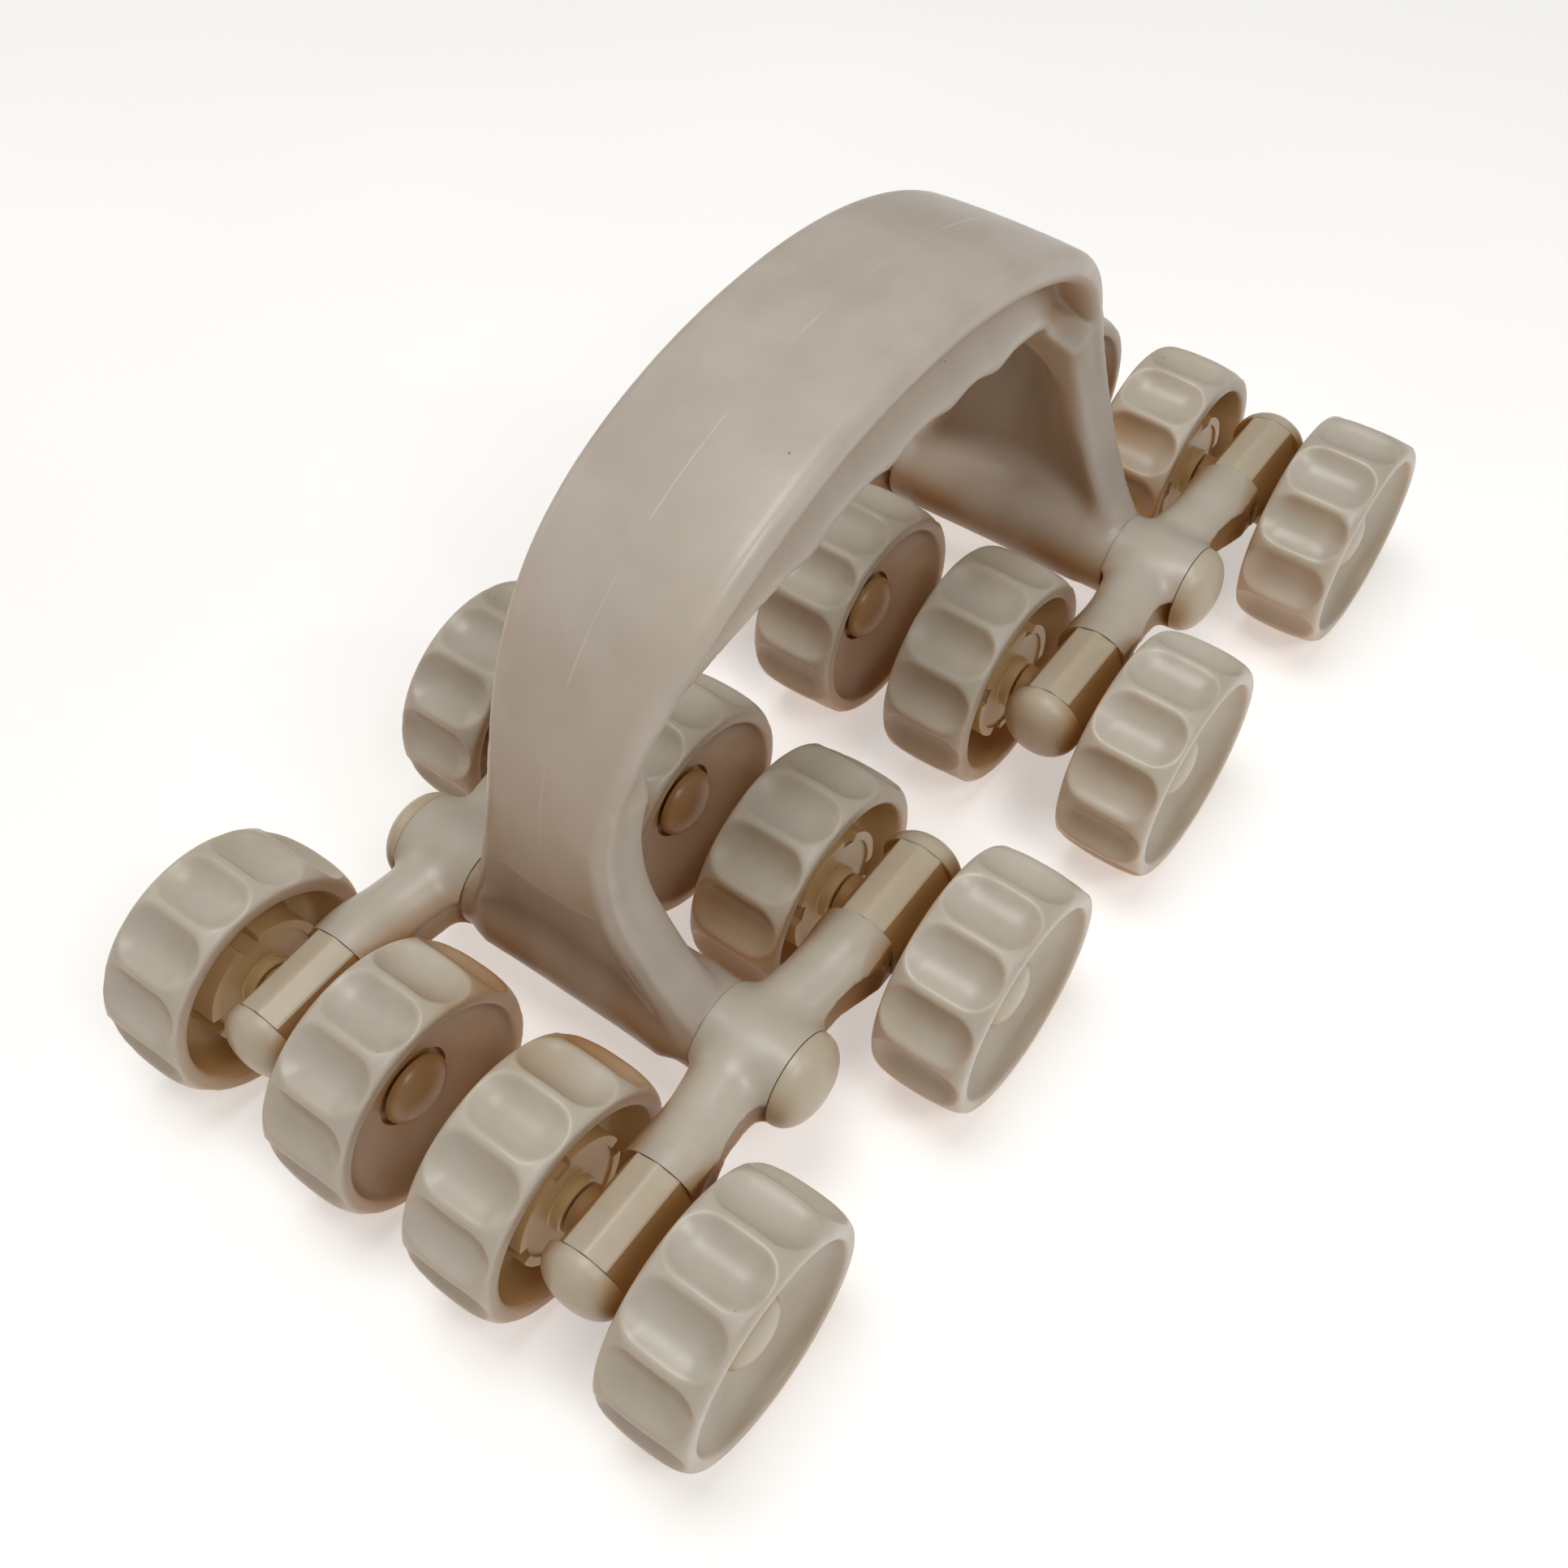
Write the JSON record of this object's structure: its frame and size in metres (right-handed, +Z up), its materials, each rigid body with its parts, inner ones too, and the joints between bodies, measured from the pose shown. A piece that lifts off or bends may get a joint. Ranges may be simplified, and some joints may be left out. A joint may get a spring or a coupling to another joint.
{
  "type": "roller massager",
  "caption": "Hand-held roller massager: arched grip on two cross bars with rocking yokes, swivel sleeves and free-turning fluted wheels on both sides.",
  "frame": {"origin": "on the floor under the middle of the object, where the wheels stand at Z = 0", "axes": "+X along the arch from foot to foot, +Y across it along the cross bars and axles, +Z up towards the grip"},
  "size_m": [0.2084, 0.1052, 0.1004],
  "materials": {
    "ivory_plastic": "satin moulded ivory, soft gloss",
    "cream_plastic": "satin moulded cream, slightly yellower and more glossy",
    "inner_plastic": "plain moulded tan, unseen"
  },
  "bodies": {
    "frame": {"handle": "ivory_plastic", "bar_pin_1": "inner_plastic", "bar_pin_2": "inner_plastic", "hub_cap_1": "cream_plastic", "hub_cap_2": "cream_plastic", "hub_cap_3": "cream_plastic", "hub_cap_4": "cream_plastic"},
    "rocker_1": {"yoke_1": "ivory_plastic", "arm_cap_1a": "cream_plastic", "arm_cap_1b": "cream_plastic"},
    "swivel_1a": {"sleeve_1a": "cream_plastic", "axle_1a": "cream_plastic", "axle_cap_1a": "cream_plastic"},
    "roller_1a_near": {"wheel_1a_near": "ivory_plastic"},
    "roller_1a_far": {"wheel_1a_far": "ivory_plastic"},
    "swivel_1b": {"sleeve_1b": "cream_plastic", "axle_1b": "cream_plastic", "axle_cap_1b": "cream_plastic"},
    "roller_1b_near": {"wheel_1b_near": "ivory_plastic"},
    "roller_1b_far": {"wheel_1b_far": "ivory_plastic"},
    "rocker_2": {"yoke_2": "ivory_plastic", "arm_cap_2a": "cream_plastic", "arm_cap_2b": "cream_plastic"},
    "swivel_2a": {"sleeve_2a": "cream_plastic", "axle_2a": "cream_plastic", "axle_cap_2a": "cream_plastic"},
    "roller_2a_near": {"wheel_2a_near": "ivory_plastic"},
    "roller_2a_far": {"wheel_2a_far": "ivory_plastic"},
    "swivel_2b": {"sleeve_2b": "cream_plastic", "axle_2b": "cream_plastic", "axle_cap_2b": "cream_plastic"},
    "roller_2b_near": {"wheel_2b_near": "ivory_plastic"},
    "roller_2b_far": {"wheel_2b_far": "ivory_plastic"},
    "rocker_3": {"yoke_3": "ivory_plastic", "arm_cap_3a": "cream_plastic", "arm_cap_3b": "cream_plastic"},
    "swivel_3a": {"sleeve_3a": "cream_plastic", "axle_3a": "cream_plastic", "axle_cap_3a": "cream_plastic"},
    "roller_3a_near": {"wheel_3a_near": "ivory_plastic"},
    "roller_3a_far": {"wheel_3a_far": "ivory_plastic"},
    "swivel_3b": {"sleeve_3b": "cream_plastic", "axle_3b": "cream_plastic", "axle_cap_3b": "cream_plastic"},
    "roller_3b_near": {"wheel_3b_near": "ivory_plastic"},
    "roller_3b_far": {"wheel_3b_far": "ivory_plastic"},
    "rocker_4": {"yoke_4": "ivory_plastic", "arm_cap_4a": "cream_plastic", "arm_cap_4b": "cream_plastic"},
    "swivel_4a": {"sleeve_4a": "cream_plastic", "axle_4a": "cream_plastic", "axle_cap_4a": "cream_plastic"},
    "roller_4a_near": {"wheel_4a_near": "ivory_plastic"},
    "roller_4a_far": {"wheel_4a_far": "ivory_plastic"},
    "swivel_4b": {"sleeve_4b": "cream_plastic", "axle_4b": "cream_plastic", "axle_cap_4b": "cream_plastic"},
    "roller_4b_near": {"wheel_4b_near": "ivory_plastic"},
    "roller_4b_far": {"wheel_4b_far": "ivory_plastic"}
  },
  "joints": [
    {"name": "rocker_1_rock", "type": "hinge", "parent": "frame", "child": "rocker_1", "pos_m": [-0.0551, -0.029, 0.0239], "axis": [0, 1, 0], "range_deg": [-25, 25]},
    {"name": "swivel_1a_turn", "type": "hinge", "parent": "rocker_1", "child": "swivel_1a", "pos_m": [-0.0852, -0.029, 0.0239], "axis": [1, 0, 0], "range_deg": [-10, 10]},
    {"name": "roller_1a_near_spin", "type": "hinge", "parent": "swivel_1a", "child": "roller_1a_near", "pos_m": [-0.0852, -0.0451, 0.019], "axis": [0, 1, 0], "continuous": true},
    {"name": "roller_1a_far_spin", "type": "hinge", "parent": "swivel_1a", "child": "roller_1a_far", "pos_m": [-0.0852, -0.0129, 0.019], "axis": [0, 1, 0], "continuous": true},
    {"name": "swivel_1b_turn", "type": "hinge", "parent": "rocker_1", "child": "swivel_1b", "pos_m": [-0.025, -0.029, 0.0239], "axis": [1, 0, 0], "range_deg": [-10, 10]},
    {"name": "roller_1b_near_spin", "type": "hinge", "parent": "swivel_1b", "child": "roller_1b_near", "pos_m": [-0.025, -0.0451, 0.019], "axis": [0, 1, 0], "continuous": true},
    {"name": "roller_1b_far_spin", "type": "hinge", "parent": "swivel_1b", "child": "roller_1b_far", "pos_m": [-0.025, -0.0129, 0.019], "axis": [0, 1, 0], "continuous": true},
    {"name": "rocker_2_rock", "type": "hinge", "parent": "frame", "child": "rocker_2", "pos_m": [-0.0551, 0.029, 0.0239], "axis": [0, 1, 0], "range_deg": [-25, 25]},
    {"name": "swivel_2a_turn", "type": "hinge", "parent": "rocker_2", "child": "swivel_2a", "pos_m": [-0.0852, 0.029, 0.0239], "axis": [1, 0, 0], "range_deg": [-10, 10]},
    {"name": "roller_2a_near_spin", "type": "hinge", "parent": "swivel_2a", "child": "roller_2a_near", "pos_m": [-0.0852, 0.0129, 0.019], "axis": [0, 1, 0], "continuous": true},
    {"name": "roller_2a_far_spin", "type": "hinge", "parent": "swivel_2a", "child": "roller_2a_far", "pos_m": [-0.0852, 0.0451, 0.019], "axis": [0, 1, 0], "continuous": true},
    {"name": "swivel_2b_turn", "type": "hinge", "parent": "rocker_2", "child": "swivel_2b", "pos_m": [-0.025, 0.029, 0.0239], "axis": [1, 0, 0], "range_deg": [-10, 10]},
    {"name": "roller_2b_near_spin", "type": "hinge", "parent": "swivel_2b", "child": "roller_2b_near", "pos_m": [-0.025, 0.0129, 0.019], "axis": [0, 1, 0], "continuous": true},
    {"name": "roller_2b_far_spin", "type": "hinge", "parent": "swivel_2b", "child": "roller_2b_far", "pos_m": [-0.025, 0.0451, 0.019], "axis": [0, 1, 0], "continuous": true},
    {"name": "rocker_3_rock", "type": "hinge", "parent": "frame", "child": "rocker_3", "pos_m": [0.0551, -0.029, 0.0239], "axis": [0, 1, 0], "range_deg": [-25, 25]},
    {"name": "swivel_3a_turn", "type": "hinge", "parent": "rocker_3", "child": "swivel_3a", "pos_m": [0.025, -0.029, 0.0239], "axis": [1, 0, 0], "range_deg": [-10, 10]},
    {"name": "roller_3a_near_spin", "type": "hinge", "parent": "swivel_3a", "child": "roller_3a_near", "pos_m": [0.025, -0.0451, 0.019], "axis": [0, 1, 0], "continuous": true},
    {"name": "roller_3a_far_spin", "type": "hinge", "parent": "swivel_3a", "child": "roller_3a_far", "pos_m": [0.025, -0.0129, 0.019], "axis": [0, 1, 0], "continuous": true},
    {"name": "swivel_3b_turn", "type": "hinge", "parent": "rocker_3", "child": "swivel_3b", "pos_m": [0.0852, -0.029, 0.0239], "axis": [1, 0, 0], "range_deg": [-10, 10]},
    {"name": "roller_3b_near_spin", "type": "hinge", "parent": "swivel_3b", "child": "roller_3b_near", "pos_m": [0.0852, -0.0451, 0.019], "axis": [0, 1, 0], "continuous": true},
    {"name": "roller_3b_far_spin", "type": "hinge", "parent": "swivel_3b", "child": "roller_3b_far", "pos_m": [0.0852, -0.0129, 0.019], "axis": [0, 1, 0], "continuous": true},
    {"name": "rocker_4_rock", "type": "hinge", "parent": "frame", "child": "rocker_4", "pos_m": [0.0551, 0.029, 0.0239], "axis": [0, 1, 0], "range_deg": [-25, 25]},
    {"name": "swivel_4a_turn", "type": "hinge", "parent": "rocker_4", "child": "swivel_4a", "pos_m": [0.025, 0.029, 0.0239], "axis": [1, 0, 0], "range_deg": [-10, 10]},
    {"name": "roller_4a_near_spin", "type": "hinge", "parent": "swivel_4a", "child": "roller_4a_near", "pos_m": [0.025, 0.0129, 0.019], "axis": [0, 1, 0], "continuous": true},
    {"name": "roller_4a_far_spin", "type": "hinge", "parent": "swivel_4a", "child": "roller_4a_far", "pos_m": [0.025, 0.0451, 0.019], "axis": [0, 1, 0], "continuous": true},
    {"name": "swivel_4b_turn", "type": "hinge", "parent": "rocker_4", "child": "swivel_4b", "pos_m": [0.0852, 0.029, 0.0239], "axis": [1, 0, 0], "range_deg": [-10, 10]},
    {"name": "roller_4b_near_spin", "type": "hinge", "parent": "swivel_4b", "child": "roller_4b_near", "pos_m": [0.0852, 0.0129, 0.019], "axis": [0, 1, 0], "continuous": true},
    {"name": "roller_4b_far_spin", "type": "hinge", "parent": "swivel_4b", "child": "roller_4b_far", "pos_m": [0.0852, 0.0451, 0.019], "axis": [0, 1, 0], "continuous": true}
  ]
}
